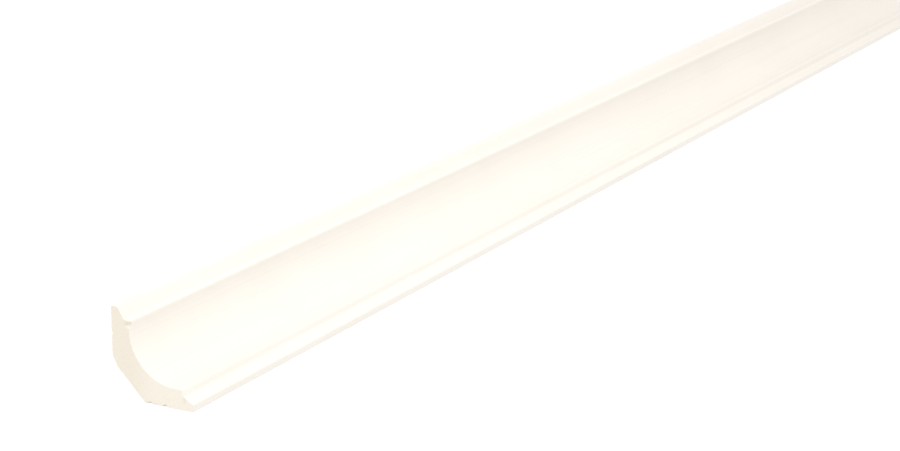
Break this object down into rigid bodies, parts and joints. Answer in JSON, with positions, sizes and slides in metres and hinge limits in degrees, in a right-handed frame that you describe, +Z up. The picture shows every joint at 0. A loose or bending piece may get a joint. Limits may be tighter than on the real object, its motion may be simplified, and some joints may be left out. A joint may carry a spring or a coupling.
{
  "type": "cove moulding",
  "caption": "Straight length of cove moulding: a hollow quarter-round face between bevelled lips, with flat legs and a chamfered back that fix into an inside corner.",
  "frame": {"origin": "middle of the flat face that meets the wall, halfway along the length", "axes": "+X along the moulding, +Y into the wall, +Z up from the floor leg to the tip of the wall leg, as pictured"},
  "size_m": [1, 0.0365, 0.0365],
  "materials": {
    "white_trim": "warm white, satin, extruded, with faint lines along the length"
  },
  "bodies": {
    "root": {"cove_moulding": "white_trim"}
  },
  "joints": []
}
